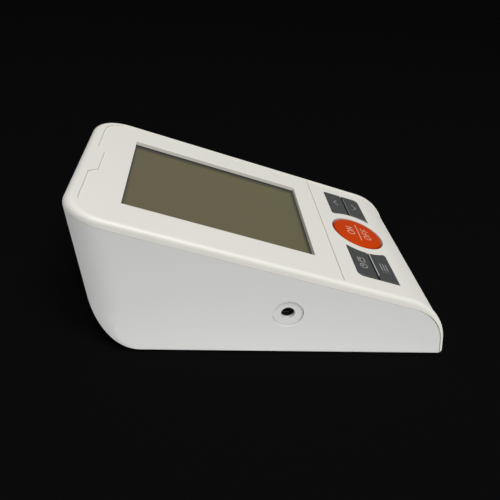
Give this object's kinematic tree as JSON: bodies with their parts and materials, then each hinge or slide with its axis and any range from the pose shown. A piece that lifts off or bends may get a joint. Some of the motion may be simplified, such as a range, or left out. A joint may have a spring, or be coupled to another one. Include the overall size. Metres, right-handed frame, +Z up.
{
  "type": "desktop blood pressure monitor",
  "caption": "Wedge-shaped desktop blood pressure monitor with a sloping display, a round on/off button between curved key pairs, a side air socket and a battery bay.",
  "frame": {"origin": "on the table under the middle of the two shells", "axes": "+Z up, -Y towards the user at the low front, -X towards the air socket in the left wall"},
  "size_m": [0.1, 0.1612, 0.0663],
  "materials": {
    "case_plastic": "satin",
    "cover_plastic": "satin",
    "orange_plastic": "satin",
    "key_plastic": "satin",
    "foot_rubber": "matte",
    "label_film": "satin",
    "lens_acrylic": "polished",
    "gasket_foam": "matte",
    "lcd_glass": "satin",
    "holder_plastic": "matte",
    "zebra_rubber": "matte",
    "board_laminate": "satin",
    "screw_steel": "satin",
    "chip_epoxy": "matte",
    "sensor_plastic": "matte",
    "buzzer_plastic": "satin",
    "capacitor_can": "satin",
    "switch_plastic": "matte",
    "plunger_plastic": "matte",
    "socket_plastic": "satin",
    "seal_rubber": "matte",
    "manifold_plastic": "matte",
    "silicone_tube": "satin",
    "valve_steel": "satin",
    "coil_copper": "satin",
    "motor_steel": "satin",
    "rotor_steel": "satin",
    "pump_plastic": "matte",
    "sleeve_rubber": "matte",
    "contact_steel": "polished",
    "cell_jacket": "satin",
    "jack_plastic": "satin",
    "wire_red": "satin"
  },
  "bodies": {
    "case": {"lower_case": "case_plastic", "upper_cover": "cover_plastic", "case_screws": "screw_steel", "rubber_feet": "foot_rubber", "rating_label": "label_film", "display_panel": "cover_plastic", "display_lens": "lens_acrylic", "lens_gasket": "gasket_foam", "lcd_glass": "lcd_glass", "lcd_holder": "holder_plastic", "lcd_contact_strips": "zebra_rubber", "main_board": "board_laminate", "board_screws": "screw_steel", "microcontroller": "chip_epoxy", "pressure_sensor": "sensor_plastic", "buzzer": "buzzer_plastic", "capacitors": "capacitor_can", "air_socket": "socket_plastic", "socket_o_ring": "seal_rubber", "air_manifold": "manifold_plastic", "tube_to_socket": "silicone_tube", "tube_to_valve": "silicone_tube", "tube_to_sensor": "silicone_tube", "tube_to_pump": "silicone_tube", "valve_frame": "valve_steel", "valve_coil": "coil_copper", "pump_motor": "motor_steel", "pump_head": "pump_plastic", "pump_sleeve": "sleeve_rubber", "contact_springs": "contact_steel", "contact_plates": "contact_steel", "dc_jack": "jack_plastic", "battery_leads": "wire_red", "pump_leads": "wire_red", "jack_leads": "wire_red", "switch_left_rear": "switch_plastic", "switch_left_front": "switch_plastic", "switch_right_rear": "switch_plastic", "switch_right_front": "switch_plastic", "switch_power": "switch_plastic", "battery_cell_1": "cell_jacket", "battery_cell_2": "cell_jacket", "battery_cell_3": "cell_jacket", "battery_cell_4": "cell_jacket"},
    "battery_door": {"battery_door": "case_plastic"},
    "pump_rotor": {"pump_rotor": "rotor_steel"},
    "valve_plunger": {"valve_plunger": "valve_steel"},
    "power_button": {"power_button": "orange_plastic", "plunger_power": "plunger_plastic"},
    "key_left_rear": {"key_left_rear": "key_plastic", "plunger_left_rear": "plunger_plastic"},
    "key_left_front": {"key_left_front": "key_plastic", "plunger_left_front": "plunger_plastic"},
    "key_right_rear": {"key_right_rear": "key_plastic", "plunger_right_rear": "plunger_plastic"},
    "key_right_front": {"key_right_front": "key_plastic", "plunger_right_front": "plunger_plastic"}
  },
  "joints": [
    {"name": "power_button_press", "type": "slide", "parent": "case", "child": "power_button", "axis": [0, 0.2554, -0.9668], "range_m": [0, 0.0008], "stiffness_N_per_m": 2500, "springref_m": -0.0001},
    {"name": "key_left_rear_press", "type": "slide", "parent": "case", "child": "key_left_rear", "axis": [0, 0.2554, -0.9668], "range_m": [0, 0.0008], "stiffness_N_per_m": 2500, "springref_m": -0.0001},
    {"name": "key_left_front_press", "type": "slide", "parent": "case", "child": "key_left_front", "axis": [0, 0.2554, -0.9668], "range_m": [0, 0.0008], "stiffness_N_per_m": 2500, "springref_m": -0.0001},
    {"name": "key_right_rear_press", "type": "slide", "parent": "case", "child": "key_right_rear", "axis": [0, 0.2554, -0.9668], "range_m": [0, 0.0008], "stiffness_N_per_m": 2500, "springref_m": -0.0001},
    {"name": "key_right_front_press", "type": "slide", "parent": "case", "child": "key_right_front", "axis": [0, 0.2554, -0.9668], "range_m": [0, 0.0008], "stiffness_N_per_m": 2500, "springref_m": -0.0001},
    {"name": "battery_door_swing", "type": "hinge", "parent": "case", "child": "battery_door", "pos_m": [0, -0.02446, 0.0008], "axis": [-1, 0, 0], "range_deg": [0, 85]},
    {"name": "pump_rotor_spin", "type": "hinge", "parent": "case", "child": "pump_rotor", "pos_m": [0, 0.05794, 0.0278], "axis": [1, 0, 0], "continuous": true},
    {"name": "valve_plunger_close", "type": "slide", "parent": "case", "child": "valve_plunger", "axis": [0, -1, 0], "range_m": [0, 0.0008], "stiffness_N_per_m": 500, "springref_m": -0.0006}
  ]
}
